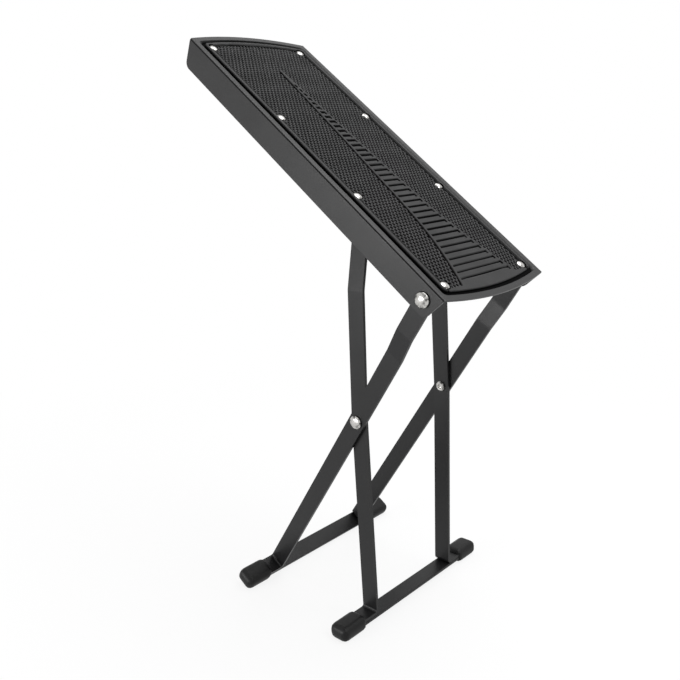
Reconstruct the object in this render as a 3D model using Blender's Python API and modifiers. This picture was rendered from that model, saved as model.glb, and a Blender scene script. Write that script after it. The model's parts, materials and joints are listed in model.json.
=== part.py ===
"""Folding foot rest: a tilted tread plate on two riveted leg frames that cross like scissors.

Metres, +Z up, X along the tread with its low end at +X, Y across it with the left side at -Y.
"""

import math

import bmesh
import bpy
from mathutils import Matrix, Vector

MM = 0.001

# Clearances
RUNNING_GAP = 0.3 * MM
SEAT_GAP = 0.3 * MM

# Stance
PLATE_TILT = math.radians(34.7)
OUTER_LEAN = math.radians(31.3)
PIVOT_TO_SCISSOR = 108.84 * MM
OUTER_FOOT = 167.67 * MM
ROD_FROM_PIVOT = 77.73 * MM

# Sheet tray
TRAY_LENGTH = 267.5 * MM
TRAY_WIDTH = 110.0 * MM
SHEET = 1.2 * MM
SHEET_BEND = 0.7 * MM
FLANGE_HEIGHT = 19.0 * MM
FLANGE_SLANT = 4.0 * MM
FLANGE_CORNER = 5.0 * MM
END_BULGE = 6.2 * MM
PIVOT_FROM_CORNER = 11.4 * MM
PIVOT_DEPTH = 10.1 * MM
RECESS_MARGIN = 4.2 * MM
RECESS_DEPTH = 1.4 * MM
RECESS_CORNER = 3.5 * MM

# Rubber pad
PAD_MARGIN = 7.5 * MM
PAD_CORNER = 3.0 * MM
PAD_WEB = 0.9 * MM
PAD_ROUND = 0.7 * MM
LIP_RISE = 0.7 * MM
LIP_CREST = 2.2 * MM
LIP_SLOPE = 0.6 * MM
GROOVE_WIDTH = 1.3 * MM
GROOVE_DEPTH = 0.6 * MM
LADDER_TAPER = 0.0634
LADDER_END = 232.0 * MM
FLARE_END = 91.0 * MM
FLARE_WIDTH = 17.5 * MM
BORDER_START = 7.0 * MM
BORDER_END = 227.0 * MM
RUNG_SPACE = 3.2 * MM
RUNG_FIRST = 11.3 * MM
RUNG_PITCH = 5.385 * MM
RUNG_COUNT = 35
HOOK_REACH = 1.3 * MM
HOOK_WIDTH = 1.7 * MM

# Bars of both leg frames
BAR_WIDTH = 12.7 * MM
BAR_THICK = 2.2 * MM
TAB_BEND = 2.6 * MM
BAR_BEND = 14.0 * MM
OUTER_STEP_IN = 3.8 * MM
OUTER_SPLAY = 0.9 * MM
OUTER_TOE_IN = 1.75 * MM
OUTER_JOGGLE_LOW = 62.0 * MM
OUTER_JOGGLE_HIGH = 80.0 * MM
INNER_STEP_IN = 8.3 * MM
INNER_DRAW_IN = 1.9 * MM
INNER_TOE_IN = 3.0 * MM
INNER_BEND_LOW = 88.0 * MM
INNER_BEND_HIGH = 121.0 * MM

# Foot caps
CAP_LENGTH = 24.0 * MM
CAP_WIDTH = 15.6 * MM
CAP_THICK = 11.0 * MM
CAP_ROUND = 4.4 * MM
CAP_END_WALL = 3.0 * MM
CAP_FLAT = 0.8 * MM
OUTER_CAP_OUT = 21.45 * MM
INNER_CAP_OUT = 22.6 * MM

# Rivets, rod and rack
HEAD_RIM = 0.5 * MM
PIVOT_HEAD = 5.7 * MM
PIVOT_HEAD_RISE = 2.4 * MM
PIVOT_SHANK = 3.0 * MM
PIVOT_TAIL = 1.6 * MM
SCISSOR_HEAD = 4.7 * MM
SCISSOR_HEAD_RISE = 1.8 * MM
SCISSOR_SHANK = 2.5 * MM
SCISSOR_TAIL = 1.4 * MM
PAD_HEAD = 3.2 * MM
PAD_SHANK = 1.5 * MM
PAD_HEAD_RIM = 0.4 * MM
PAD_HEAD_RISE = 1.1 * MM
PAD_TAIL = 1.1 * MM
PAD_HOLE = 3.7 * MM
PAD_RIVET_INSET = 12.8 * MM
PAD_RIVET_END = 10.5 * MM
PAD_RIVET_ROWS = 4
ROD_RADIUS = 3.0 * MM
ROD_OVERHANG = 1.6 * MM
RAIL_SHEET = 1.5 * MM
RAIL_INSET = 3.7 * MM
RAIL_BASE = 13.0 * MM
RAIL_LEAD = 12.7 * MM
RAIL_TAIL = 12.3 * MM
NOTCH_PITCH = 13.0 * MM
NOTCH_COUNT = 6
NOTCH_DEPTH = 2.0 * MM
NOTCH_RUN = 4.8 * MM

# Derived places: the scissor rivet stands over x = 0 until the whole is centred at the end
cap_side = CAP_WIDTH / 2 - CAP_ROUND
cap_drop = CAP_THICK / 2 - CAP_ROUND


def cap_reach(lean):
    """How far a cap's lowest point lies under its middle when its leg leans."""
    return cap_side * abs(math.sin(lean)) + cap_drop * math.cos(lean) + CAP_ROUND


scissor_z = OUTER_FOOT * math.cos(OUTER_LEAN) + cap_reach(OUTER_LEAN) - CAP_FLAT
scissor = Vector((0.0, 0.0, scissor_z))
pivot = scissor + PIVOT_TO_SCISSOR * Vector((math.sin(OUTER_LEAN), 0.0, math.cos(OUTER_LEAN)))
rod = pivot + ROD_FROM_PIVOT * Vector((-math.cos(PLATE_TILT), 0.0, math.sin(PLATE_TILT)))
INNER_LEAN = math.atan2(rod.x - scissor.x, rod.z - scissor.z)
SCISSOR_TO_ROD = (rod - scissor).length
INNER_FOOT = (scissor_z - cap_reach(INNER_LEAN) + CAP_FLAT) / math.cos(INNER_LEAN)

plate_top = PIVOT_DEPTH
floor_top = plate_top - RECESS_DEPTH
floor_under = floor_top - SHEET
low_corner = PIVOT_FROM_CORNER
high_corner = PIVOT_FROM_CORNER - TRAY_LENGTH
outer_face_pivot = TRAY_WIDTH / 2 - SHEET - RUNNING_GAP
outer_face_scissor = outer_face_pivot - OUTER_STEP_IN
outer_face_foot = outer_face_scissor - OUTER_TOE_IN
inner_face_scissor = outer_face_scissor - BAR_THICK - RUNNING_GAP
inner_face_foot = inner_face_scissor - INNER_TOE_IN
inner_face_top = inner_face_scissor - INNER_STEP_IN
rail_face = inner_face_top - BAR_THICK - RAIL_INSET
pad_rivet_y = TRAY_WIDTH / 2 - PAD_RIVET_INSET
lap_half = SEAT_GAP / 2

for old in list(bpy.data.objects):
    bpy.data.objects.remove(old, do_unlink=True)

parts = bpy.data.collections.new("folding_foot_rest")
cutters = bpy.data.collections.new("cutters")
for group in (parts, cutters):
    bpy.context.scene.collection.children.link(group)


def material(name, colour, metallic, roughness):
    made = bpy.data.materials.new(name)
    made.use_nodes = True
    shader = made.node_tree.nodes["Principled BSDF"]
    shader.inputs["Base Color"].default_value = (*colour, 1.0)
    shader.inputs["Metallic"].default_value = metallic
    shader.inputs["Roughness"].default_value = roughness
    return made


COATING = ((0.032, 0.032, 0.033), 0.0, 0.42)
NICKEL = ((0.72, 0.69, 0.64), 1.0, 0.25)
RUBBER = ((0.022, 0.022, 0.023), 0.0, 0.7)


def joint_frame(name, place, lean):
    """An empty on a joint axis, its Z along the leg or normal to the plate."""
    empty = bpy.data.objects.new(name, None)
    empty.location = place
    empty.rotation_euler = (0.0, lean, 0.0)
    empty.empty_display_size = 0.02
    parts.objects.link(empty)
    return empty


outer_frame = joint_frame("outer_frame_axis", scissor, OUTER_LEAN)
inner_frame = joint_frame("inner_frame_axis", scissor, INNER_LEAN)
platform = joint_frame("platform_axis", pivot, PLATE_TILT)


def place(mesh, name, parent, finish):
    """A named part in its joint frame, with a material of its own."""
    obj = bpy.data.objects.new(name, mesh)
    obj.parent = parent
    mesh.materials.append(material(name, *finish))
    parts.objects.link(obj)
    return obj


def cutter(mesh, name, parent):
    obj = bpy.data.objects.new(name, mesh)
    obj.parent = parent
    obj.hide_render = True
    obj.display_type = "WIRE"
    cutters.objects.link(obj)
    return obj


def boolean(obj, tool, operation):
    step = obj.modifiers.new(operation.lower(), "BOOLEAN")
    step.operation = operation
    step.solver = "EXACT"
    step.object = tool


AXES = {
    "XY": lambda a, b, d: (a, b, d),
    "XZ": lambda a, b, d: (a, d, b),
    "YZ": lambda a, b, d: (d, a, b),
}


def prisms(name, outlines, low, high, plane):
    """Closed outlines drawn in one plane and carried from low to high along the third axis."""
    mesh = bpy.data.meshes.new(name)
    bm = bmesh.new()
    for outline in outlines:
        ends = [[bm.verts.new(AXES[plane](a, b, d)) for a, b in outline] for d in (low, high)]
        bm.faces.new(ends[0])
        bm.faces.new(ends[1])
        for i in range(len(outline)):
            j = i - 1
            bm.faces.new((ends[0][j], ends[0][i], ends[1][i], ends[1][j]))
    bmesh.ops.recalc_face_normals(bm, faces=bm.faces)
    bm.to_mesh(mesh)
    bm.free()
    return mesh


def circle(x, y, radius, steps):
    turns = [2 * math.pi * i / steps for i in range(steps)]
    return [(x + radius * math.cos(t), y + radius * math.sin(t)) for t in turns]


def bent_path(points, radii, steps=5):
    """A line of straight runs with each inner corner swept to its bend radius."""
    path = [Vector(points[0])]
    for i, radius in enumerate(radii, start=1):
        corner = Vector(points[i])
        back = (Vector(points[i - 1]) - corner).normalized()
        ahead = (Vector(points[i + 1]) - corner).normalized()
        half = back.angle(ahead) / 2
        centre = corner + (back + ahead).normalized() * (radius / math.sin(half))
        first = corner + back * (radius / math.tan(half)) - centre
        last = corner + ahead * (radius / math.tan(half)) - centre
        for k in range(steps + 1):
            path.append(centre + first.slerp(last, k / steps).normalized() * radius)
    path.append(Vector(points[-1]))
    return path


def strip(path, thick):
    """The closed outline of a strip of even thickness about its middle line."""
    runs = [(b - a).normalized() for a, b in zip(path, path[1:])]
    left = []
    right = []
    for i, point in enumerate(path):
        before = runs[max(i - 1, 0)]
        after = runs[min(i, len(runs) - 1)]
        along = (before + after).normalized()
        reach = thick / 2 / along.dot(after)
        side = Vector((-along.y, along.x)) * reach
        left.append(tuple(point + side))
        right.append(tuple(point - side))
    return left + right[::-1]


def turned(name, profile, steps, parent, finish, middle, side):
    """A round part: radii and heights from its outer end inward, its axis across the foot rest."""
    mesh = bpy.data.meshes.new(name)
    mesh.from_pydata([(r, 0.0, h) for r, h in profile], [(i, i + 1) for i in range(len(profile) - 1)], [])
    obj = place(mesh, name, parent, finish)
    spin = obj.modifiers.new("turn", "SCREW")
    spin.axis = "Z"
    spin.steps = steps
    spin.render_steps = steps
    spin.use_merge_vertices = True
    spin.merge_threshold = 0.00001
    spin.use_smooth_shade = True
    obj.location = middle
    obj.rotation_euler = side
    return obj


def dome(radius, base, rise, steps=5):
    """A low dome from its crown down to its rim."""
    return [
        (radius * math.sin(t), base + rise * math.cos(t))
        for t in [math.pi / 2 * i / steps for i in range(steps + 1)]
    ]


SIDES = (("left", -1), ("right", 1))
OUTWARD = {-1: (math.pi / 2, 0.0, 0.0), 1: (-math.pi / 2, 0.0, 0.0)}


def mirrored(points, sign):
    return [(sign * y, z) for y, z in points]


def rounded_end(half, tip, foot, steps=16):
    """The face of a bar with a round top end, drawn past its foot."""
    arc = [math.pi * i / steps for i in range(steps + 1)]
    return [(half * math.cos(t), tip + half * math.sin(t)) for t in arc] + [(-half, foot), (half, foot)]


def bore(name, parent, x, z, radius, reach):
    return cutter(prisms(name, [circle(x, z, radius, 32)], -reach, reach, "XZ"), name, parent)


# Leg frames: two bars, each turned out at the foot into a tab that is lapped on a flat crossbar
half_bar = BAR_THICK / 2
far = TRAY_WIDTH


def leg_frame(which, parent, faces, bends, tip, foot, cap_mid):
    tab_mid = -foot + lap_half + half_bar
    bar_end = cap_mid + CAP_LENGTH / 2 - CAP_END_WALL - SEAT_GAP
    points = [(bar_end, tab_mid), (faces[0][0] - half_bar, tab_mid)]
    points += [(face - half_bar, height) for face, height in faces[1:]]
    section = strip(bent_path(points, [TAB_BEND] + bends), BAR_THICK)
    past = -foot - CAP_THICK
    shape = rounded_end(BAR_WIDTH / 2, tip, past)
    end_name = f"{which}_leg_round_end"
    rounding = cutter(prisms(end_name, [shape], -far, far, "XZ"), end_name, parent)
    legs = []
    for label, sign in SIDES:
        name = f"{which}_leg_{label}"
        mesh = prisms(name, [mirrored(section, sign)], -BAR_WIDTH / 2 - MM, BAR_WIDTH / 2 + MM, "YZ")
        leg = place(mesh, name, parent, COATING)
        boolean(leg, rounding, "INTERSECT")
        legs.append(leg)
    top = -foot - lap_half
    flat = [(-bar_end, top - BAR_THICK), (bar_end, top - BAR_THICK), (bar_end, top), (-bar_end, top)]
    name = f"{which}_crossbar"
    place(prisms(name, [flat], -BAR_WIDTH / 2, BAR_WIDTH / 2, "YZ"), name, parent, COATING)
    for label, sign in SIDES:
        foot_cap(f"{which}_foot_cap_{label}", parent, sign * cap_mid, sign, -foot)
    return legs


def box(centre, size):
    mesh = bpy.data.meshes.new("box")
    bm = bmesh.new()
    bmesh.ops.create_cube(bm, size=1.0, matrix=Matrix.Translation(centre) @ Matrix.Diagonal((*size, 1.0)))
    bm.to_mesh(mesh)
    bm.free()
    return mesh


floor_block = box((0.0, 0.0, -TRAY_LENGTH / 2), (2 * TRAY_LENGTH, 2 * TRAY_LENGTH, TRAY_LENGTH))
floor = cutter(floor_block, "floor", None)


def foot_cap(name, parent, y, sign, z):
    """A rubber block with rounded edges, hollowed for the bar ends and flat where it stands."""
    obj = place(box((0.0, y, z), (CAP_WIDTH, CAP_LENGTH, CAP_THICK)), name, parent, RUBBER)
    rounding = obj.modifiers.new("round", "BEVEL")
    rounding.width = CAP_ROUND
    rounding.segments = 4
    rounding.limit_method = "NONE"
    stack = 2 * BAR_THICK + SEAT_GAP
    inner = y - sign * (CAP_LENGTH / 2 + CAP_ROUND)
    depth = y + sign * (CAP_LENGTH / 2 - CAP_END_WALL)
    hollow = box(
        (0.0, (inner + depth) / 2, z),
        (BAR_WIDTH + 2 * SEAT_GAP, abs(depth - inner), stack + 2 * SEAT_GAP),
    )
    boolean(obj, cutter(hollow, f"{name}_socket", parent), "DIFFERENCE")
    boolean(obj, floor, "DIFFERENCE")


outer_legs = leg_frame(
    "outer",
    outer_frame,
    [
        (outer_face_foot, -OUTER_FOOT),
        (outer_face_scissor, 0.0),
        (outer_face_scissor + OUTER_SPLAY, OUTER_JOGGLE_LOW),
        (outer_face_pivot, OUTER_JOGGLE_HIGH),
        (outer_face_pivot, PIVOT_TO_SCISSOR + BAR_WIDTH),
    ],
    [BAR_BEND, BAR_BEND, BAR_BEND],
    PIVOT_TO_SCISSOR,
    OUTER_FOOT,
    outer_face_foot + OUTER_CAP_OUT,
)
inner_legs = leg_frame(
    "inner",
    inner_frame,
    [
        (inner_face_foot, -INNER_FOOT),
        (inner_face_scissor, 0.0),
        (inner_face_scissor - INNER_DRAW_IN, INNER_BEND_LOW),
        (inner_face_top, INNER_BEND_HIGH),
        (inner_face_top, SCISSOR_TO_ROD + BAR_WIDTH),
    ],
    [BAR_BEND, BAR_BEND, BAR_BEND],
    SCISSOR_TO_ROD,
    INNER_FOOT,
    inner_face_foot + INNER_CAP_OUT,
)

scissor_hole = SCISSOR_SHANK + RUNNING_GAP
pivot_hole = PIVOT_SHANK + RUNNING_GAP
scissor_bore_outer = bore("scissor_bore_outer", outer_frame, 0.0, 0.0, scissor_hole, far)
scissor_bore_inner = bore("scissor_bore_inner", inner_frame, 0.0, 0.0, scissor_hole, far)
pivot_bore_outer = bore("pivot_bore_outer", outer_frame, 0.0, PIVOT_TO_SCISSOR, pivot_hole, far)
rod_bore = bore("rod_bore", inner_frame, 0.0, SCISSOR_TO_ROD, ROD_RADIUS + SEAT_GAP, far)
for leg in outer_legs:
    boolean(leg, scissor_bore_outer, "DIFFERENCE")
    boolean(leg, pivot_bore_outer, "DIFFERENCE")
for leg in inner_legs:
    boolean(leg, scissor_bore_inner, "DIFFERENCE")
    boolean(leg, rod_bore, "DIFFERENCE")

# Rod between the tops of the inner legs, which the rack rests on
rod_end = inner_face_top + ROD_OVERHANG
rod_mesh = prisms("latch_rod", [circle(0.0, SCISSOR_TO_ROD, ROD_RADIUS, 32)], -rod_end, rod_end, "XZ")
place(rod_mesh, "latch_rod", inner_frame, NICKEL)

# Scissor rivets: domed outside the outer leg, rolled over inside the inner one
scissor_head_base = outer_face_scissor + RUNNING_GAP
scissor_tail_base = inner_face_scissor - BAR_THICK - RUNNING_GAP
scissor_profile = dome(SCISSOR_HEAD, scissor_head_base + HEAD_RIM, SCISSOR_HEAD_RISE) + [
    (SCISSOR_HEAD, scissor_head_base),
    (SCISSOR_SHANK, scissor_head_base),
    (SCISSOR_SHANK, scissor_tail_base),
    (SCISSOR_HEAD * 0.75, scissor_tail_base),
    (SCISSOR_HEAD * 0.78, scissor_tail_base - SCISSOR_TAIL * 0.5),
    (SCISSOR_HEAD * 0.62, scissor_tail_base - SCISSOR_TAIL),
    (SCISSOR_HEAD * 0.40, scissor_tail_base - SCISSOR_TAIL * 0.93),
    (SCISSOR_HEAD * 0.32, scissor_tail_base - SCISSOR_TAIL * 0.14),
    (0.0, scissor_tail_base - SCISSOR_TAIL * 0.14),
]
for label, sign in SIDES:
    turned(f"scissor_rivet_{label}", scissor_profile, 28, outer_frame, NICKEL, (0.0, 0.0, 0.0), OUTWARD[sign])

# Pivot rivets: domed outside the tray flange, flat inside the outer leg
pivot_head_base = TRAY_WIDTH / 2 + RUNNING_GAP
pivot_tail_base = outer_face_pivot - BAR_THICK - RUNNING_GAP
pivot_profile = dome(PIVOT_HEAD, pivot_head_base + HEAD_RIM, PIVOT_HEAD_RISE) + [
    (PIVOT_HEAD, pivot_head_base),
    (PIVOT_SHANK, pivot_head_base),
    (PIVOT_SHANK, pivot_tail_base),
    (PIVOT_HEAD * 0.8, pivot_tail_base),
    (PIVOT_HEAD * 0.76, pivot_tail_base - PIVOT_TAIL * 0.75),
    (PIVOT_HEAD * 0.6, pivot_tail_base - PIVOT_TAIL),
    (0.0, pivot_tail_base - PIVOT_TAIL),
]
pivot_place = (0.0, 0.0, PIVOT_TO_SCISSOR)
for label, sign in SIDES:
    turned(f"pivot_rivet_{label}", pivot_profile, 32, outer_frame, NICKEL, pivot_place, OUTWARD[sign])

# Tray: a channel of folded sheet whose two ends bow outward, pressed down inside its rim to take the pad
middle_half = (TRAY_WIDTH - SHEET) / 2
flange_edge = plate_top - FLANGE_HEIGHT
channel = strip(
    bent_path(
        [
            (-middle_half, flange_edge),
            (-middle_half, plate_top - SHEET / 2),
            (middle_half, plate_top - SHEET / 2),
            (middle_half, flange_edge),
        ],
        [SHEET_BEND, SHEET_BEND],
    ),
    SHEET,
)
BOW_RADIUS = ((TRAY_WIDTH / 2) ** 2 + END_BULGE**2) / (2 * END_BULGE)


def bowed_outline(margin, corner=0.0, steps=20):
    """The plan of the plate drawn in by a margin: straight sides, bowed ends, round corners where asked."""
    half = TRAY_WIDTH / 2 - margin
    radius = BOW_RADIUS - margin
    swing = math.asin((half - corner) / (radius - corner))
    bow_x = low_corner + END_BULGE - BOW_RADIUS
    bow = [-swing + 2 * swing * i / steps for i in range(steps + 1)]
    low_end = [(bow_x + radius * math.cos(turn), radius * math.sin(turn)) for turn in bow]
    if corner:
        corner_x = bow_x + (radius - corner) * math.cos(swing)
        turns = [swing + (math.pi / 2 - swing) * i / 4 for i in range(1, 5)]
        corner_y = half - corner
        fillet = [(corner_x + corner * math.cos(turn), corner_y + corner * math.sin(turn)) for turn in turns]
        low_end = [(x, -y) for x, y in reversed(fillet)] + low_end + fillet
    return low_end + [(low_corner + high_corner - x, -y) for x, y in low_end]


def flange_outline():
    """The side of the tray: slanted ends with round lower corners, open to the bowed plate above."""
    shoulder = plate_top - SHEET - SHEET_BEND
    wide = END_BULGE + SHEET
    ends = (low_corner, high_corner)
    points = [
        (ends[0], shoulder),
        (ends[0] - FLANGE_SLANT, flange_edge),
        (ends[1] + FLANGE_SLANT, flange_edge),
        (ends[1], shoulder),
    ]
    lower = [tuple(p) for p in bent_path(points, [FLANGE_CORNER, FLANGE_CORNER])]
    upper = [(ends[1] - wide, shoulder), (ends[1] - wide, 2 * plate_top)]
    upper += [(ends[0] + wide, 2 * plate_top), (ends[0] + wide, shoulder)]
    return lower + upper


reach_low = low_corner + 2 * END_BULGE
reach_high = high_corner - 2 * END_BULGE
tray_sheet = prisms("platform_tray", [channel], reach_high, reach_low, "YZ")
tray = place(tray_sheet, "platform_tray", platform, COATING)
tray_plan = prisms("tray_plan", [bowed_outline(0.0)], -far, far, "XY")
boolean(tray, cutter(tray_plan, "tray_plan", platform), "INTERSECT")
tray_side = prisms("tray_side", [flange_outline()], -far, far, "XZ")
boolean(tray, cutter(tray_side, "tray_side", platform), "INTERSECT")
pan_outline = bowed_outline(RECESS_MARGIN - SHEET, RECESS_CORNER + SHEET)
tray_pan = prisms("tray_pan", [pan_outline], floor_under, plate_top - SHEET / 2, "XY")
boolean(tray, cutter(tray_pan, "tray_pan", platform), "UNION")
recess_outline = bowed_outline(RECESS_MARGIN, RECESS_CORNER)
tray_recess = prisms("tray_recess", [recess_outline], floor_top, 2 * plate_top, "XY")
boolean(tray, cutter(tray_recess, "tray_recess", platform), "DIFFERENCE")
boolean(tray, bore("pivot_bore_tray", platform, 0.0, 0.0, pivot_hole, far), "DIFFERENCE")

row_step = (TRAY_LENGTH - 2 * PAD_RIVET_END) / (PAD_RIVET_ROWS - 1)
rivet_places = [
    (low_corner - PAD_RIVET_END - row_step * row, sign * pad_rivet_y)
    for row in range(PAD_RIVET_ROWS)
    for _, sign in SIDES
]
tray_holes = [circle(x, y, PAD_SHANK + SEAT_GAP, 20) for x, y in rivet_places]
tray_bores = prisms("tray_rivet_bores", tray_holes, 0.0, 2 * plate_top, "XY")
boolean(tray, cutter(tray_bores, "tray_rivet_bores", platform), "DIFFERENCE")

# Rubber pad: level with the rim in the recess, dished inside a lip, its ladder of grooves flared downhill
pad_low = floor_top + SEAT_GAP
field_top = pad_low + PAD_WEB
lip_top = field_top + LIP_RISE
pad_slab = prisms("rubber_pad", [bowed_outline(PAD_MARGIN, PAD_CORNER)], pad_low, lip_top, "XY")
pad = place(pad_slab, "rubber_pad", platform, RUBBER)
pad_edge = pad.modifiers.new("round", "BEVEL")
pad_edge.width = PAD_ROUND
pad_edge.segments = 2
pad_edge.limit_method = "ANGLE"
pad_edge.angle_limit = math.radians(60)


def dish(name):
    """The hollow inside the lip: its sloped wall runs on above the crest."""
    crest = PAD_MARGIN + LIP_CREST
    corner = PAD_CORNER - LIP_CREST + LIP_SLOPE
    deep = bowed_outline(crest + LIP_SLOPE, corner - 2 * LIP_SLOPE)
    mesh = prisms(name, [deep], field_top, field_top + 2 * LIP_RISE, "XY")
    wide = bowed_outline(crest - LIP_SLOPE, corner)
    for vertex, (x, y) in zip(list(mesh.vertices)[len(wide):], wide):
        vertex.co.xy = (x, y)
    return mesh


boolean(pad, cutter(dish("pad_dish"), "pad_dish", platform), "DIFFERENCE")


def ladder_half(s):
    """From the middle of the tread to each edge of the ladder: an even taper, flared toward the low end."""
    flare = FLARE_WIDTH * (max(FLARE_END - s, 0.0) / FLARE_END) ** 2
    return LADDER_TAPER * (LADDER_END - s) + flare


def ladder_border(steps=24):
    """The groove that runs up the left edge of the ladder."""
    half = GROOVE_WIDTH / 2
    stations = [BORDER_START + (BORDER_END - BORDER_START) * (i / steps) ** 1.5 for i in range(steps + 1)]
    line = [(low_corner - s, -ladder_half(s)) for s in stations]
    return [(x, y - half) for x, y in line] + [(x, y + half) for x, y in reversed(line)]


def rung(number):
    """One cross groove, from short of the border to the right edge, where it hooks toward the low end."""
    s = RUNG_FIRST + RUNG_PITCH * number
    right = ladder_half(s)
    left = min(RUNG_SPACE - right, right - GROOVE_WIDTH)
    low = low_corner - s + GROOVE_WIDTH / 2
    high = low - GROOVE_WIDTH
    neck = right - HOOK_WIDTH
    hook = [(low, neck), (low + HOOK_REACH, neck), (low + HOOK_REACH, right)]
    return [(high, left), (low, left)] + (hook if neck > left else [(low, right)]) + [(high, right)]


ladder = [ladder_border()] + [rung(number) for number in range(RUNG_COUNT)]
grooves = prisms("pad_grooves", ladder, field_top - GROOVE_DEPTH, field_top + LIP_RISE, "XY")
boolean(pad, cutter(grooves, "pad_grooves", platform), "DIFFERENCE")
pad_holes = [circle(x, y, PAD_HOLE, 24) for x, y in rivet_places]
pad_bores = prisms("pad_rivet_bores", pad_holes, 0.0, 2 * plate_top, "XY")
boolean(pad, cutter(pad_bores, "pad_rivet_bores", platform), "DIFFERENCE")

# Pad rivets: heads sunk in the pad's holes, set flat under the plate
head_base = floor_top + SEAT_GAP
tail_base = floor_under - SEAT_GAP
pad_rivet_profile = dome(PAD_HEAD, head_base + PAD_HEAD_RIM, PAD_HEAD_RISE, 4) + [
    (PAD_HEAD, head_base),
    (PAD_SHANK, head_base),
    (PAD_SHANK, tail_base),
    (PAD_SHANK * 1.8, tail_base),
    (PAD_SHANK * 1.6, tail_base - PAD_TAIL),
    (0.0, tail_base - PAD_TAIL),
]
for number, (x, y) in enumerate(rivet_places, start=1):
    turned(f"pad_rivet_{number}", pad_rivet_profile, 20, platform, NICKEL, (x, y, 0.0), (0.0, 0.0, 0.0))

# Rack rails: angle strips under the plate whose lower edges are notched for the rod
rail_mid = rail_face - RAIL_SHEET / 2
rail_top = floor_under - SEAT_GAP
ceiling = ROD_RADIUS + RUNNING_GAP
tooth_tip = ceiling - NOTCH_DEPTH
rail_section = strip(
    bent_path(
        [
            (rail_face - RAIL_BASE, rail_top - RAIL_SHEET / 2),
            (rail_mid, rail_top - RAIL_SHEET / 2),
            (rail_mid, tooth_tip),
        ],
        [RAIL_SHEET],
    ),
    RAIL_SHEET,
)
rail_near = -ROD_FROM_PIVOT + RAIL_LEAD
rail_far = -ROD_FROM_PIVOT - NOTCH_PITCH * (NOTCH_COUNT - 1) - RAIL_TAIL


def notch(number):
    """Steep behind the rod and sloped ahead of it, so that the rack slides up off the rod one way only."""
    middle = -ROD_FROM_PIVOT - NOTCH_PITCH * number
    return [
        (middle + ceiling, tooth_tip),
        (middle + ceiling - NOTCH_DEPTH / 2, ceiling),
        (middle - NOTCH_RUN, ceiling),
        (middle - NOTCH_RUN - NOTCH_DEPTH, tooth_tip),
        (middle - NOTCH_RUN - NOTCH_DEPTH, -ceiling),
        (middle + ceiling, -ceiling),
    ]


notches = prisms("rack_notches", [notch(i) for i in range(NOTCH_COUNT)], -far, far, "XZ")
rack_notches = cutter(notches, "rack_notches", platform)
for label, sign in SIDES:
    name = f"rack_rail_{label}"
    rail_mesh = prisms(name, [mirrored(rail_section, sign)], rail_far, rail_near, "YZ")
    rail = place(rail_mesh, name, platform, COATING)
    boolean(rail, rack_notches, "DIFFERENCE")

# Centre the foot rest over the origin, measured along the tread
bpy.context.view_layer.update()
seen = bpy.context.evaluated_depsgraph_get()
reaches = [
    (obj.evaluated_get(seen).matrix_world @ Vector(corner)).x
    for obj in parts.objects
    if obj.type == "MESH"
    for corner in [vertex.co for vertex in obj.evaluated_get(seen).data.vertices]
]
shift = -(min(reaches) + max(reaches)) / 2
for empty in (outer_frame, inner_frame, platform):
    empty.location.x += shift
for obj in parts.objects:
    if obj.type == "MESH" and ("rod" in obj.name or "rivet" in obj.name):
        obj.data.shade_smooth()
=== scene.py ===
"""Looks of the folding foot rest: satin black coating, a pitted rubber pad and bright rivets."""

import json
import math

import bmesh
import bpy
import numpy as np
from mathutils import Matrix, Vector


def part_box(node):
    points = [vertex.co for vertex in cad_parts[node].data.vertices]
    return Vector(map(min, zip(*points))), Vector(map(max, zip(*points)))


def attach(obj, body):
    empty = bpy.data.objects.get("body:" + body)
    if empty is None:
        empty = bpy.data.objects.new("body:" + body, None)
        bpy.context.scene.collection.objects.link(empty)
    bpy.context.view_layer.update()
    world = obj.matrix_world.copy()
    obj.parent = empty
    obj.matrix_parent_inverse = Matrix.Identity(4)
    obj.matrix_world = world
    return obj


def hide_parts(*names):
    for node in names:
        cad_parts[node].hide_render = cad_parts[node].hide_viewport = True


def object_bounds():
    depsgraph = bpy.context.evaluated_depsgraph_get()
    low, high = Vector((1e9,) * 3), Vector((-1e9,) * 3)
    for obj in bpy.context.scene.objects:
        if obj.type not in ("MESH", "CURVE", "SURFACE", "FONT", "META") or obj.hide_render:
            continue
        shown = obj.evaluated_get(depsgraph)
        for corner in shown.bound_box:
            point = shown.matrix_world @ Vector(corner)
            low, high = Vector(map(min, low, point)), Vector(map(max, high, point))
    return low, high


MM = 0.001
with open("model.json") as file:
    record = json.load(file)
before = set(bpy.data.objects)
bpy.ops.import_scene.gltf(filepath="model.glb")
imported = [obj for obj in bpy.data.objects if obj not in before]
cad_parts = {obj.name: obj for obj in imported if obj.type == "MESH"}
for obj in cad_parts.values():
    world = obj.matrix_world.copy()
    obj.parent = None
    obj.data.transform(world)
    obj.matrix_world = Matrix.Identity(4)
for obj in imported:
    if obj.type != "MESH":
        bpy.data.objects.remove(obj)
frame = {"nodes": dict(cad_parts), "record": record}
start_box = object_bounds()

# Camera, placed from the middle of the scissor rivets
CAMERA_FROM_SCISSOR = Vector((320.8, -406.4, 198.2)) * MM
CAMERA_AZIMUTH = math.radians(43.19)
CAMERA_ELEVATION = math.radians(16.42)
CAMERA_ROLL = math.radians(-0.55)
CAMERA_LENS = 41.28
CAMERA_SENSOR = 36.0
CAMERA_NEAR = 10.0 * MM

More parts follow.
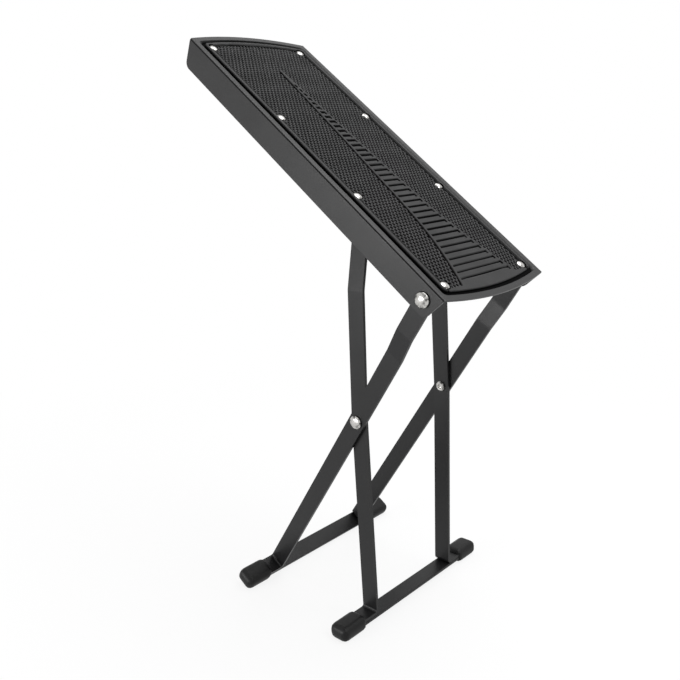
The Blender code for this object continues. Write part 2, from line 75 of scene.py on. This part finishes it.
# Dressed solids
MERGE = 0.002 * MM
FLAT_ANGLE = math.radians(0.5)
SHARP_ANGLE = math.radians(40)
CREASE_ANGLE = math.radians(32)
BEVEL_SEGMENTS = 2
BEVELS = {
    "leg_coating": 0.35 * MM,
    "tray_coating": 0.2 * MM,
    "rack_coating": 0.2 * MM,
    "cap_rubber": 0.3 * MM,
    "rivet_nickel": 0.0,
    "rod_steel": 0.3 * MM,
}

# Rivet heads: width of the pivot heads against the solid, and where the painted shade starts between crown
# and rim
PIVOT_HEAD_SHARE = 0.9
RIM_START = 0.35

# Pad outline. Distances up the tread start at the line through the tray's low corners
END_BULGE = 6.2 * MM
BOW_BLEND = 9.0 * MM
PAD_CORNER = 3.0 * MM
EDGE_ROUND = 0.7 * MM
RIVET_HOLE = 3.7 * MM

# Pad mesh
PAD_STEP = 0.4 * MM
ROWS_PER_RUNG = 13
EDGE_STATIONS = np.array([0.0, 0.04, 0.13, 0.3, 0.6, 1.0]) * EDGE_ROUND
EDGE_CLEAR = 1.3 * EDGE_ROUND
PAD_CREASE_ANGLE = math.radians(50)
TINY = 1e-9

# Lip round the sides and the high end of the pad, and the gutter inside it
LIP_RISE = 0.7 * MM
LIP_CREST = 2.2 * MM
LIP_SLOPE = 0.6 * MM
GUTTER_HALF = 0.75 * MM
GUTTER_SOFT = 0.3 * MM
GUTTER_DEPTH = 0.35 * MM

# Pits: one at each corner of a cell and one in its middle
PIT_LONG = 5.1 * MM
PIT_WIDE = 3.06 * MM
PIT_FIRST = 0.56 * MM
PIT_OFFSET = -0.28 * MM
PIT_RADIUS = 1.18 * MM
PIT_SOFT = 0.2 * MM
PIT_DEPTH = 0.6 * MM
PITS_START = 7.0 * MM
PITS_CLEAR = 0.5 * MM

# Ladder: its half width, the border groove on one side and the rungs, hooked on the other
LADDER_TAPER = 0.0634
LADDER_END = 232.0 * MM
LADDER_CLEAR = 1.5 * MM
FLARE_END = 91.0 * MM
FLARE_WIDTH = 17.5 * MM
BORDER_START = 7.0 * MM
BORDER_END = 231.0 * MM
BORDER_BULGE = 0.9 * MM
BULGE_RISE = 40.0 * MM, 80.0 * MM
BULGE_FALL = 110.0 * MM, 150.0 * MM
GROOVE_HALF = 0.85 * MM
GROOVE_SOFT = 0.15 * MM
GROOVE_DEPTH = 0.6 * MM
RUNG_COUNT = 38
RUNG_FIRST = 11.4 * MM
RUNG_PITCH = 5.43 * MM
RUNG_HALF = 0.52 * MM
RUNG_SWELL = 1.0 * MM
RUNG_SPACE = 2.5 * MM
RUNG_REACH = 1.0 * MM
HOOK_REACH = 1.5 * MM
HOOK_WIDTH = 1.9 * MM
HOOK_HALF = 0.75 * MM

# Tray: the recess round the pad, and the dark line of painted shade just under the folded edge
SEAT_GAP = 0.3 * MM
RECESS_REACH = 4.0 * MM
RECESS_SIDE_DRAFT = 2.4 * MM
RECESS_END_DRAFT = 0.6 * MM
WALL_TOP = 0.03 * MM
# Band under the folded edge that gets painted shade, and how dark it is
FOLD_DARK = 0.3 * MM, 1.1 * MM
FOLD_PAINTED_SHADE = 0.8

# Finishes. Noises are given by scale and detail, shades as shares of the colour
NOISE_RANGE = 0.3, 0.7
EDGE_MATCH = 0.99, 0.85
EDGE_BREAKS = 220.0, 4.0
EDGE_BREAK_RANGE = 0.2, 1.0
# Gloss kept where painted shade darkens a piece
PAINTED_SHADE_GLOSS = 0.02
# In each skin one share pales edges as wear and painted highlight, and two shares pale and darken marked
# places as wear, painted light and painted shade
POWDER_COAT = {
    "mottle": (90.0, 3.0),
    "mottle_shade": 1.4,
    "edge_reach": 0.5 * MM,
    "edge_shade": 1.5,
    "wear_and_light_share": 6.0,
    "painted_shade_share": 0.15,
    "sheen": (40.0, 4.0),
    "sheen_range": 0.05,
    "grain": (1500.0, 2.0),
    "grain_strength": 0.2,
    "grain_height": 0.2 * MM,
}
MOULDED_RUBBER = {
    "mottle": (120.0, 4.0),
    "mottle_shade": 1.5,
    "edge_reach": 0.8 * MM,
    "edge_shade": 2.0,
    "wear_and_light_share": 2.9,
    "painted_shade_share": 0.03,
    "sheen": (60.0, 3.0),
    "sheen_range": 0.06,
    "grain": (2000.0, 3.0),
    "grain_strength": 0.25,
    "grain_height": 0.2 * MM,
}
TUMBLING = 400.0, 4.0
TUMBLING_SHADE = 0.82
# Blotchy painted shade toward the rivet rims
RIM_SHADE_NOISE = 420.0, 2.0
RIM_SHADE_RANGE = -0.8, 1.9
RIM_SHADE_SHARE = 0.08
POLISH = 700.0, 5.0
POLISH_RANGE = -0.06, 0.1
PLATING_GRAIN = 900.0, 3.0
PLATING_STRENGTH = 0.1
PLATING_HEIGHT = 0.3 * MM

# Stage: distances in metres. The floor turns from nearly white to white between near and far
FLOOR_REACH = 4.0
FLOOR_COLOUR = (0.88, 0.88, 0.88, 1.0)
FLOOR_ROUGHNESS = 0.9
FLOOR_WHITE = 0.86
FLOOR_NEAR = 0.25
FLOOR_FAR = 0.6
ROOM_COLOUR = (1.0, 1.0, 1.0, 1.0)
ROOM_DARK = 0.15
ROOM_BRIGHT = 0.85
ROOM_LEAN = math.radians(53)
ROOM_FADE = 0.25, 0.95


def middle(node):
    """The middle of a node's box."""
    low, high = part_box(node)
    return (low + high) / 2


def direction(azimuth, elevation):
    """The unit vector at an azimuth from -Y toward +X and an elevation over the floor."""
    level = math.cos(elevation)
    return Vector((math.sin(azimuth) * level, -math.cos(azimuth) * level, math.sin(elevation)))


def placed(name, data):
    """A new object in the scene."""
    obj = bpy.data.objects.new(name, data)
    bpy.context.scene.collection.objects.link(obj)
    return obj


def paint(mesh, name, values):
    """Keeps a number at each vertex for the finishes to read."""
    made = mesh.attributes.new(name, "FLOAT", "POINT")
    made.data.foreach_set("value", np.asarray(values, np.float32))


# Finishes


def shader_graph(name, roughness, metallic=0.0):
    made = bpy.data.materials.new(name)
    made.use_nodes = True
    tree = made.node_tree
    shader = tree.nodes["Principled BSDF"]
    shader.inputs["Roughness"].default_value = roughness
    shader.inputs["Metallic"].default_value = metallic
    return made, tree, shader


def math_node(tree, operation, first, second):
    made = tree.nodes.new("ShaderNodeMath")
    made.operation = operation
    tree.links.new(first, made.inputs[0])
    tree.links.new(second, made.inputs[1])
    return made.outputs["Value"]


def map_range(tree, value, source, target, interpolation="LINEAR"):
    """Maps a value from the source range onto the target range, and holds it there."""
    made = tree.nodes.new("ShaderNodeMapRange")
    made.interpolation_type = interpolation
    made.inputs["From Min"].default_value, made.inputs["From Max"].default_value = source
    made.inputs["To Min"].default_value, made.inputs["To Max"].default_value = target
    tree.links.new(value, made.inputs["Value"])
    return made.outputs["Result"]


def noise(tree, scale, detail):
    """Noise in the piece's own space."""
    place = tree.nodes.new("ShaderNodeTexCoord")
    made = tree.nodes.new("ShaderNodeTexNoise")
    made.inputs["Scale"].default_value = scale
    made.inputs["Detail"].default_value = detail
    tree.links.new(place.outputs["Object"], made.inputs["Vector"])
    return made.outputs["Fac"]


def spread(tree, value, low, high):
    """Maps a noise onto a range, from the part of 0 to 1 that it mostly keeps to."""
    return map_range(tree, value, NOISE_RANGE, (low, high))


def attribute(tree, name):
    made = tree.nodes.new("ShaderNodeAttribute")
    made.attribute_name = name
    return made.outputs["Fac"]


def shade(colour, share):
    return tuple(c * share for c in colour)


def mix_colours(tree, factor, first, second):
    """Mixes two colours, each fixed or from a node."""
    made = tree.nodes.new("ShaderNodeMix")
    made.data_type = "RGBA"
    tree.links.new(factor, made.inputs["Factor"])
    for socket, colour in ((made.inputs["A"], first), (made.inputs["B"], second)):
        if isinstance(colour, tuple):
            socket.default_value = (*colour, 1.0)
        else:
            tree.links.new(colour, socket)
    return made.outputs["Result"]


def bump(tree, shader, height, strength, distance):
    made = tree.nodes.new("ShaderNodeBump")
    made.inputs["Strength"].default_value = strength
    made.inputs["Distance"].default_value = distance
    tree.links.new(height, made.inputs["Height"])
    tree.links.new(made.outputs["Normal"], shader.inputs["Normal"])


def edge_wear_and_highlight(tree, reach):
    """1 on the edges of a solid, 0 on its flats, broken up so that it is uneven; edges are paled by it as
    wear and as a painted highlight.
    """
    eased = tree.nodes.new("ShaderNodeBevel")
    eased.inputs["Radius"].default_value = reach
    facing = tree.nodes.new("ShaderNodeNewGeometry")
    match = tree.nodes.new("ShaderNodeVectorMath")
    match.operation = "DOT_PRODUCT"
    tree.links.new(eased.outputs["Normal"], match.inputs[0])
    tree.links.new(facing.outputs["Normal"], match.inputs[1])
    found = map_range(tree, match.outputs["Value"], EDGE_MATCH, (0.0, 1.0))
    breaks = spread(tree, noise(tree, *EDGE_BREAKS), *EDGE_BREAK_RANGE)
    return math_node(tree, "MULTIPLY", found, breaks)


def coated(name, colour, roughness, gloss, skin, painted=False):
    """Powder coat or rubber: mottled, uneven in its sheen, fine in grain and paler along its edges, as wear
    and as a painted highlight.

    On a painted piece it is also paler where marked, as painted light on the tray's recess walls and as wear
    on the pad's tread, and darker and less glossy where marked with painted shade.
    """
    made, tree, shader = shader_graph(name, roughness)
    shader.inputs["Specular IOR Level"].default_value = gloss
    ground = mix_colours(tree, noise(tree, *skin["mottle"]), colour, shade(colour, skin["mottle_shade"]))
    # Edges paled as wear and as a painted highlight
    worn_and_highlit = edge_wear_and_highlight(tree, skin["edge_reach"])
    ground = mix_colours(tree, worn_and_highlit, ground, shade(colour, skin["edge_shade"]))
    if painted:
        # Marked places: paler as painted light on the tray's recess walls and as wear on the pad's tread,
        # darker and less glossy as painted shade
        wear_and_light_mask, painted_shade_mask = attribute(tree, "wear_and_painted_light"), attribute(tree, "painted_shade")
        ground = mix_colours(tree, wear_and_light_mask, ground, shade(colour, skin["wear_and_light_share"]))
        ground = mix_colours(tree, painted_shade_mask, ground, shade(colour, skin["painted_shade_share"]))
        dulled = map_range(tree, painted_shade_mask, (0.0, 1.0), (gloss, gloss * PAINTED_SHADE_GLOSS))
        tree.links.new(dulled, shader.inputs["Specular IOR Level"])
    tree.links.new(ground, shader.inputs["Base Color"])
    low, high = roughness - skin["sheen_range"], roughness + skin["sheen_range"]
    sheen = spread(tree, noise(tree, *skin["sheen"]), low, high)
    tree.links.new(sheen, shader.inputs["Roughness"])
    bump(tree, shader, noise(tree, *skin["grain"]), skin["grain_strength"], skin["grain_height"])
    return made


def plated(name, colour, roughness, painted=False):
    """Bright plating with faint tumbling marks; on a painted piece it darkens in blotches toward the rim, as
    painted shade that rounds the head.
    """
    made, tree, shader = shader_graph(name, roughness, metallic=1.0)
    ground = mix_colours(tree, noise(tree, *TUMBLING), colour, shade(colour, TUMBLING_SHADE))
    if painted:
        # Blotchy painted shade toward the rim, which makes the head look domed
        blotches = spread(tree, noise(tree, *RIM_SHADE_NOISE), *RIM_SHADE_RANGE)
        rim_shade = math_node(tree, "MULTIPLY", attribute(tree, "rim"), blotches)
        ground = mix_colours(tree, rim_shade, ground, shade(colour, RIM_SHADE_SHARE))
    tree.links.new(ground, shader.inputs["Base Color"])
    low, high = roughness + POLISH_RANGE[0], roughness + POLISH_RANGE[1]
    tree.links.new(spread(tree, noise(tree, *POLISH), low, high), shader.inputs["Roughness"])
    bump(tree, shader, noise(tree, *PLATING_GRAIN), PLATING_STRENGTH, PLATING_HEIGHT)
    return made


# Colour and roughness of each finish, and the gloss of those that aren't metal
FINISHES = {
    "leg_coating": coated("leg_coating", (0.008, 0.008, 0.0083), 0.4, 0.25, POWDER_COAT),
    "tray_coating": coated("tray_coating", (0.009, 0.009, 0.0093), 0.38, 0.31, POWDER_COAT, painted=True),
    "rack_coating": coated("rack_coating", (0.008, 0.008, 0.0083), 0.45, 0.25, POWDER_COAT),
    "cap_rubber": coated("cap_rubber", (0.0045, 0.0045, 0.0046), 0.48, 0.2, MOULDED_RUBBER),
    "pad_rubber": coated("pad_rubber", (0.0155, 0.0155, 0.0158), 0.6, 0.24, MOULDED_RUBBER, painted=True),
    "rivet_nickel": plated("rivet_nickel", (0.58, 0.57, 0.55), 0.2, painted=True),
    "rod_steel": plated("rod_steel", (0.62, 0.61, 0.59), 0.3),
}
SLOTS = {row["node"]: row["material_slot"] for row in frame["record"]["subparts"]}
BODIES = {node: body for body, nodes in frame["record"]["behaviour"]["bodies"].items() for node in nodes}

# Pieces


def add(mesh, name, node):
    """A visible piece that stands for a CAD node and moves with its body."""
    obj = placed(name, mesh)
    mesh.materials.append(FINISHES[SLOTS[node]])
    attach(obj, BODIES[node])
    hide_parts(node)
    return obj


def dressed(node):
    """The CAD solid with its flat faces made whole, its edges eased and its curves smooth."""
    solid = frame["nodes"][node].data
    mesh = bpy.data.meshes.new(f"{node}_look")
    mesh.from_pydata([v.co for v in solid.vertices], [], [p.vertices for p in solid.polygons])
    bm = bmesh.new()
    bm.from_mesh(mesh)
    bmesh.ops.remove_doubles(bm, verts=bm.verts, dist=MERGE)
    bmesh.ops.dissolve_limit(bm, angle_limit=FLAT_ANGLE, verts=bm.verts, edges=bm.edges)
    width = BEVELS[SLOTS[node]]
    if width:
        sharp = [edge for edge in bm.edges if edge.is_manifold and edge.calc_face_angle() > SHARP_ANGLE]
        bmesh.ops.bevel(
            bm,
            geom=sharp,
            offset=width,
            segments=BEVEL_SEGMENTS,
            profile=0.5,
            affect="EDGES",
            clamp_overlap=True,
        )
    for face in bm.faces:
        face.smooth = True
    for edge in bm.edges:
        edge.smooth = not edge.is_manifold or edge.calc_face_angle() < CREASE_ANGLE
    bm.to_mesh(mesh)
    bm.free()
    obj = add(mesh, f"{node}_look", node)
    obj.modifiers.new("flat_faces", "WEIGHTED_NORMAL").keep_sharp = True
    return obj


looks = {node: dressed(node) for node in SLOTS if node != "rubber_pad"}

# Axes of the tread: uphill, across and off it
uphill = (middle("pad_rivet_7") - middle("pad_rivet_1")).normalized()
across = Vector((0.0, 1.0, 0.0))
normal = uphill.cross(across)
normal *= math.copysign(1.0, normal.z)
TREAD_AXES = np.array([uphill, across, normal])


def narrow_pivot_heads():
    """Draws the pivot rivets in round their axis, which runs across."""
    for node in ("pivot_rivet_left", "pivot_rivet_right"):
        place = middle(node)
        for vertex in looks[node].data.vertices:
            vertex.co.xz = place.xz + (vertex.co.xz - place.xz) * PIVOT_HEAD_SHARE


def paint_rims():
    """Marks how far each place on a rivet lies toward its rim."""
    for node, look in looks.items():
        if SLOTS[node] != "rivet_nickel":
            continue
        axis = normal if node.startswith("pad_rivet") else across
        place = middle(node)
        reaches = [(vertex.co - place).cross(axis).length for vertex in look.data.vertices]
        furthest = max(reaches)
        rims = [max(0.0, reach / furthest - RIM_START) / (1.0 - RIM_START) for reach in reaches]
        paint(look.data, "rim", rims)


narrow_pivot_heads()
paint_rims()

# Measures of the tray and the pad, from their solids, along the axes of the tread


def tread_points(mesh):
    """A mesh's vertices in distances up the tread, across it and off it."""
    points = np.empty(len(mesh.vertices) * 3, np.float32)
    mesh.vertices.foreach_get("co", points)
    return points.reshape(-1, 3) @ TREAD_AXES.T


tray_points = tread_points(frame["nodes"]["platform_tray"].data)
tray_tips = tray_points[:, 0].min(), tray_points[:, 0].max()
tray_half = tray_points[:, 1].max()
tray_top = tray_points[:, 2].max()
low_corner = tray_tips[0] + END_BULGE
pad_points = tread_points(frame["nodes"]["rubber_pad"].data)
pad_points[:, 0] -= low_corner
pad_tips = pad_points[:, 0].min(), pad_points[:, 0].max()
pad_half = pad_points[:, 1].max()
pad_base = pad_points[:, 2].min()
pad_crest = pad_points[:, 2].max() - pad_base
bow_radius = (tray_half**2 + END_BULGE**2) / (2 * END_BULGE) - (tray_half - pad_half)
bow_centres = pad_tips[0] + bow_radius, pad_tips[1] - bow_radius
bow_rise = bow_radius - math.sqrt(bow_radius**2 - pad_half**2)
pad_ends = pad_tips[0] + bow_rise, pad_tips[1] - bow_rise
rivet_places = []
for rivet in (node for node in SLOTS if node.startswith("pad_rivet")):
    place = TREAD_AXES @ np.array(middle(rivet))
    rivet_places.append((place[0] - low_corner, place[1]))


def finish_recess(mesh):
    """Leans the walls of the tray's recess outward, and marks painted light on its walls and painted shade on
    its floor and along the fold.
    """
    points = tread_points(mesh)
    along, height = points[:, 0], points[:, 2]
    off_middle = np.abs(points[:, 1])
    in_recess = off_middle < pad_half + RECESS_REACH
    # The recess floor and a band under the fold get painted shade, the recess walls painted light
    floor = in_recess & (np.abs(height - pad_base + SEAT_GAP) < SEAT_GAP / 3)
    wall = in_recess & (height > pad_base - SEAT_GAP / 2) & (height < tray_top - WALL_TOP)
    fold = (height < tray_top - FOLD_DARK[0]) & (height > tray_top - FOLD_DARK[1])
    fold &= off_middle > tray_half - FOLD_DARK[1]
    paint(mesh, "wear_and_painted_light", wall)
    paint(mesh, "painted_shade", np.maximum(floor, fold * FOLD_PAINTED_SHADE))
    recess_middle = (tray_tips[0] + tray_tips[1]) / 2
    recess_half = tray_tips[1] - recess_middle
    points[floor, 0] -= RECESS_END_DRAFT / recess_half * (along[floor] - recess_middle)
    points[floor, 1] *= 1.0 - RECESS_SIDE_DRAFT / tray_half
    mesh.vertices.foreach_set("co", (points @ TREAD_AXES).ravel())


finish_recess(looks["platform_tray"].data)

# Rubber pad: a height surface inside the bowed outline, at distances s up the tread and y across it


def edged(low, high, step, phase=0.0):
    """Stations from low to high at an even step, drawn together where the surface rounds over at the ends."""
    even = np.arange(math.ceil((low - phase) / step), (high - phase) / step) * step + phase
    even = even[(even > low + EDGE_CLEAR) & (even < high - EDGE_CLEAR)]
    return np.concatenate([low + EDGE_STATIONS, even, high - EDGE_STATIONS[::-1]])


def smooth_step(value):
    value = np.clip(value, 0.0, 1.0)
    return value * value * (3.0 - 2.0 * value)


def within(distance, half, soft):
    """1 inside a half width, 0 outside it, with a soft edge."""
    return smooth_step((half + soft - distance) / (2.0 * soft))


def ladder_half(s):
    """Half the width of the ladder: an even taper, flared toward the low end."""
    flare = np.maximum(FLARE_END - s, 0.0) / FLARE_END
    return LADDER_TAPER * (LADDER_END - s) + FLARE_WIDTH * flare**2


def border_half(s):
    """Distance of the border groove from the middle: half the ladder, bulged a little halfway up."""
    rise = smooth_step((s - BULGE_RISE[0]) / (BULGE_RISE[1] - BULGE_RISE[0]))
    fall = smooth_step((BULGE_FALL[1] - s) / (BULGE_FALL[1] - BULGE_FALL[0]))
    return ladder_half(s) + BORDER_BULGE * rise * fall


def grooves(s, y):
    """Where the ladder is cut: the border groove and the hooked rungs, thicker toward the narrow end."""
    border = within(np.abs(y + border_half(s)), GROOVE_HALF, GROOVE_SOFT)
    border *= (s > BORDER_START) & (s < BORDER_END)
    number = np.clip(np.round((s - RUNG_FIRST) / RUNG_PITCH), 0, RUNG_COUNT - 1)
    rung_s = RUNG_FIRST + RUNG_PITCH * number
    near = border_half(rung_s) - RUNG_SPACE
    far = ladder_half(rung_s) + RUNG_REACH
    thick = RUNG_HALF + RUNG_SWELL * rung_s / LADDER_END
    rung = within(np.abs(s - rung_s), thick, GROOVE_SOFT)
    rung *= within(np.abs(y - (far - near) / 2), (far + near) / 2, GROOVE_SOFT)
    hook = within(np.abs(y - far + HOOK_WIDTH / 2), HOOK_WIDTH / 2, GROOVE_SOFT)
    hook *= within(np.abs(s - rung_s + HOOK_REACH / 2), HOOK_REACH / 2 + HOOK_HALF, GROOVE_SOFT)
    hook *= far > HOOK_WIDTH
    return np.maximum(border, np.maximum(rung, hook))


def pits(s, y):
    """Where the tread is pitted: round pits in staggered rows."""
    along, over = (s - PIT_FIRST) / PIT_LONG, (y - PIT_OFFSET) / PIT_WIDE
    a = along + over - np.round(along + over)
    b = along - over - np.round(along - over)
    return within(np.hypot(PIT_LONG * (a + b), PIT_WIDE * (a - b)) / 2, PIT_RADIUS, PIT_SOFT)


def edge_distances(s, y):
    """How far each place lies inside the side, the low end and the high end of the pad."""
    low = bow_radius - np.hypot(s - bow_centres[0], y)
    high = bow_radius - np.hypot(s - bow_centres[1], y)
    return pad_half - np.abs(y), low, high


def corner_rounded(s, y):
    """Places near the pad's corners drawn in so that the outline turns there in an arc."""
    side, low, high = edge_distances(s, y)
    u = np.clip(1.0 - side / PAD_CORNER, 0.0, 1.0)
    for end, sense in ((low, 1.0), (high, -1.0)):
        v = np.clip(1.0 - end / PAD_CORNER, 0.0, 1.0)
        shrink = 1.0 - np.maximum(u, v) / np.maximum(np.hypot(u, v), TINY)
        shrink *= (u > 0) & (v > 0)
        y = y - np.sign(y) * PAD_CORNER * u * shrink
        s = s + sense * PAD_CORNER * v * shrink
    return s, y


def relief(s, y, side, low, high):
    """Height over the pad's underside, how far each place is sunk in a groove, the gutter or one of the pits,
    which is darkened there as painted shade, and the pitted tread, which feet wear.
    """
    edge = np.minimum(np.minimum(side, low), high)
    lip = np.minimum(side, high)
    height = pad_crest - LIP_RISE * smooth_step((lip - LIP_CREST) / LIP_SLOPE)
    rounded = np.clip(EDGE_ROUND - edge, 0.0, EDGE_ROUND)
    height = height - EDGE_ROUND + np.sqrt(EDGE_ROUND**2 - rounded**2)
    gutter_middle = LIP_CREST + LIP_SLOPE + GUTTER_HALF
    gutter = within(np.abs(lip - gutter_middle), GUTTER_HALF, GUTTER_SOFT)
    cut = grooves(s, y)
    on_ladder = (y > -border_half(s) - GROOVE_HALF) & (y < ladder_half(s) + RUNG_REACH + LADDER_CLEAR)
    on_ladder &= s < BORDER_END
    tread = (lip > gutter_middle + GUTTER_HALF) & (s > PITS_START) & ~on_ladder
    for rivet_s, rivet_y in rivet_places:
        tread &= np.hypot(s - rivet_s, y - rivet_y) > RIVET_HOLE + PITS_CLEAR
    pitted = pits(s, y) * tread
    height = height - GROOVE_DEPTH * cut - PIT_DEPTH * pitted - GUTTER_DEPTH * gutter
    return height, np.maximum(np.maximum(cut, gutter), pitted), tread


def pad_grid():
    """Places s and y inside the pad's outline, and the quads between them, with the rivet holes left open."""
    columns = edged(-pad_half, pad_half, PAD_STEP)
    half_row = RUNG_PITCH / (2 * ROWS_PER_RUNG)
    rows = edged(pad_ends[0], pad_ends[1], RUNG_PITCH / ROWS_PER_RUNG, RUNG_FIRST + half_row)
    s, y = np.meshgrid(rows, columns, indexing="ij")
    bow = bow_radius - np.sqrt(bow_radius**2 - y**2) - bow_rise
    s = s + bow * np.clip(1.0 - (s - pad_ends[0]) / BOW_BLEND, 0.0, 1.0)
    s = s - bow * np.clip(1.0 - (pad_ends[1] - s) / BOW_BLEND, 0.0, 1.0)
    index = np.arange(s.size).reshape(s.shape)
    corners = [index[:-1, :-1], index[1:, :-1], index[1:, 1:], index[:-1, 1:]]
    quads = np.stack(corners, axis=-1).reshape(-1, 4)
    s, y = s.ravel(), y.ravel()
    inside = edge_distances(s, y)
    s, y = corner_rounded(s, y)
    for rivet_s, rivet_y in rivet_places:
        reach = np.hypot(s[quads].mean(axis=1) - rivet_s, y[quads].mean(axis=1) - rivet_y)
        rim = np.intersect1d(quads[reach < RIVET_HOLE], quads[reach >= RIVET_HOLE])
        quads = quads[reach >= RIVET_HOLE]
        scale = RIVET_HOLE / np.hypot(s[rim] - rivet_s, y[rim] - rivet_y)
        s[rim] = rivet_s + (s[rim] - rivet_s) * scale
        y[rim] = rivet_y + (y[rim] - rivet_y) * scale
    return s, y, inside, quads


def pad_mesh():
    """The pad as one closed skin: relief on top, straight walls, rivet holes and a flat underside."""
    s, y, inside, quads = pad_grid()
    height, painted_shade_depth, tread = relief(s, y, *inside)
    places = np.stack([s + low_corner, y, height + pad_base], axis=1) @ TREAD_AXES
    used, quads = np.unique(quads, return_inverse=True)
    mesh = bpy.data.meshes.new("rubber_pad_look")
    mesh.from_pydata(places[used].tolist(), [], quads.reshape(-1, 4).tolist())
    # Painted shade in the grooves, the gutter and the pits; the pitted tread is marked for wear
    paint(mesh, "painted_shade", painted_shade_depth[used])
    paint(mesh, "wear_and_painted_light", tread[used])
    bm = bmesh.new()
    bm.from_mesh(mesh)
    rims = [edge for edge in bm.edges if edge.is_boundary]
    walls = bmesh.ops.extrude_edge_only(bm, edges=rims)["geom"]
    painted_shade_layer = bm.verts.layers.float["painted_shade"]
    # The pad's walls are wholly in painted shade
    for vertex in (part for part in walls if isinstance(part, bmesh.types.BMVert)):
        vertex.co -= normal * (vertex.co.dot(normal) - pad_base)
        vertex[painted_shade_layer] = 1.0
    floor_edges = [edge for edge in bm.edges if edge.is_boundary]
    bmesh.ops.triangle_fill(bm, edges=floor_edges, use_beauty=True)
    bmesh.ops.recalc_face_normals(bm, faces=bm.faces)
    for face in bm.faces:
        face.smooth = True
    for edge in bm.edges:
        edge.smooth = edge.calc_face_angle(0.0) < PAD_CREASE_ANGLE
    bm.to_mesh(mesh)
    bm.free()
    return mesh


add(pad_mesh(), "rubber_pad_look", "rubber_pad")

# Stage: a white floor that keeps a faint shadow, a white surround, and three soft lamps


def seen(tree):
    """1 for what the camera sees, straight, mirrored or through glass."""
    path = tree.nodes.new("ShaderNodeLightPath").outputs
    mirrored = math_node(tree, "MAXIMUM", path["Is Camera Ray"], path["Is Glossy Ray"])
    return math_node(tree, "MAXIMUM", mirrored, path["Is Transmission Ray"])


def floor_material():
    """A pale floor that the camera sees as nearly white at the object, and as white further out."""
    made, tree, shader = shader_graph("floor", FLOOR_ROUGHNESS)
    shader.inputs["Base Color"].default_value = FLOOR_COLOUR
    glow = tree.nodes.new("ShaderNodeEmission")
    glow.inputs["Strength"].default_value = 1.0
    away = tree.nodes.new("ShaderNodeVectorMath")
    away.operation = "LENGTH"
    tree.links.new(tree.nodes.new("ShaderNodeNewGeometry").outputs["Position"], away.inputs[0])
    distances, shares = (FLOOR_NEAR, FLOOR_FAR), (FLOOR_WHITE, 1.0)
    whiteness = map_range(tree, away.outputs["Value"], distances, shares, "SMOOTHSTEP")
    blend = tree.nodes.new("ShaderNodeMixShader")
    tree.links.new(math_node(tree, "MULTIPLY", seen(tree), whiteness), blend.inputs["Fac"])
    tree.links.new(shader.outputs["BSDF"], blend.inputs[1])
    tree.links.new(glow.outputs["Emission"], blend.inputs[2])
    tree.links.new(blend.outputs["Shader"], tree.nodes["Material Output"].inputs["Surface"])
    return made


def add_floor():
    mesh = bpy.data.meshes.new("floor")
    signs = ((-1, -1), (1, -1), (1, 1), (-1, 1))
    corners = [(x * FLOOR_REACH, y * FLOOR_REACH, start_box[0].z) for x, y in signs]
    mesh.from_pydata(corners, [], [(0, 1, 2, 3)])
    mesh.materials.append(floor_material())
    placed("floor", mesh)


def add_surround():
    """A room that lights the object most from overhead behind it, and that the camera sees as white."""
    world = bpy.data.worlds.new("studio")
    bpy.context.scene.world = world
    world.use_nodes = True
    tree = world.node_tree
    background = tree.nodes["Background"]
    background.inputs["Color"].default_value = ROOM_COLOUR
    overhead = tree.nodes.new("ShaderNodeVectorMath")
    overhead.operation = "DOT_PRODUCT"
    overhead.inputs[1].default_value = direction(CAMERA_AZIMUTH + math.pi, ROOM_LEAN)
    tree.links.new(tree.nodes.new("ShaderNodeTexCoord").outputs["Generated"], overhead.inputs[0])
    levels = (ROOM_DARK, ROOM_BRIGHT)
    room = map_range(tree, overhead.outputs["Value"], ROOM_FADE, levels, "SMOOTHSTEP")
    tree.links.new(math_node(tree, "MAXIMUM", room, seen(tree)), background.inputs["Strength"])


def softbox(name, azimuth, elevation, distance, width, height, power):
    """A rectangular lamp aimed at the middle of the object, at angles in degrees."""
    lamp = bpy.data.lights.new(name, "AREA")
    lamp.shape = "RECTANGLE"
    lamp.size = width
    lamp.size_y = height
    lamp.energy = power
    away = direction(math.radians(azimuth), math.radians(elevation))
    obj = placed(name, lamp)
    obj.location = (start_box[0] + start_box[1]) / 2 + away * distance
    obj.rotation_mode = "QUATERNION"
    obj.rotation_quaternion = (-away).to_track_quat("-Z", "Y")


def add_camera():
    scissor = (middle("scissor_rivet_left") + middle("scissor_rivet_right")) / 2
    back = direction(CAMERA_AZIMUTH, CAMERA_ELEVATION)
    right = Vector((math.cos(CAMERA_AZIMUTH), math.sin(CAMERA_AZIMUTH), 0.0))
    level_view = Matrix((right, back.cross(right), back)).transposed().to_4x4()
    data = bpy.data.cameras.new("camera")
    data.lens = CAMERA_LENS
    data.sensor_width = CAMERA_SENSOR
    data.clip_start = CAMERA_NEAR
    camera = placed("camera", data)
    turned = level_view @ Matrix.Rotation(CAMERA_ROLL, 4, "Z")
    camera.matrix_world = Matrix.Translation(scissor + CAMERA_FROM_SCISSOR) @ turned
    bpy.context.scene.camera = camera


add_floor()
add_surround()
softbox("key_light", azimuth=150.0, elevation=72.0, distance=1.3, width=1.0, height=1.0, power=13.0)
softbox("side_light", azimuth=100.0, elevation=40.0, distance=1.4, width=0.7, height=1.0, power=4.5)
softbox("front_light", azimuth=-18.0, elevation=3.0, distance=1.3, width=0.7, height=0.35, power=11.0)
add_camera()
bpy.context.scene.view_settings.view_transform = "Standard"
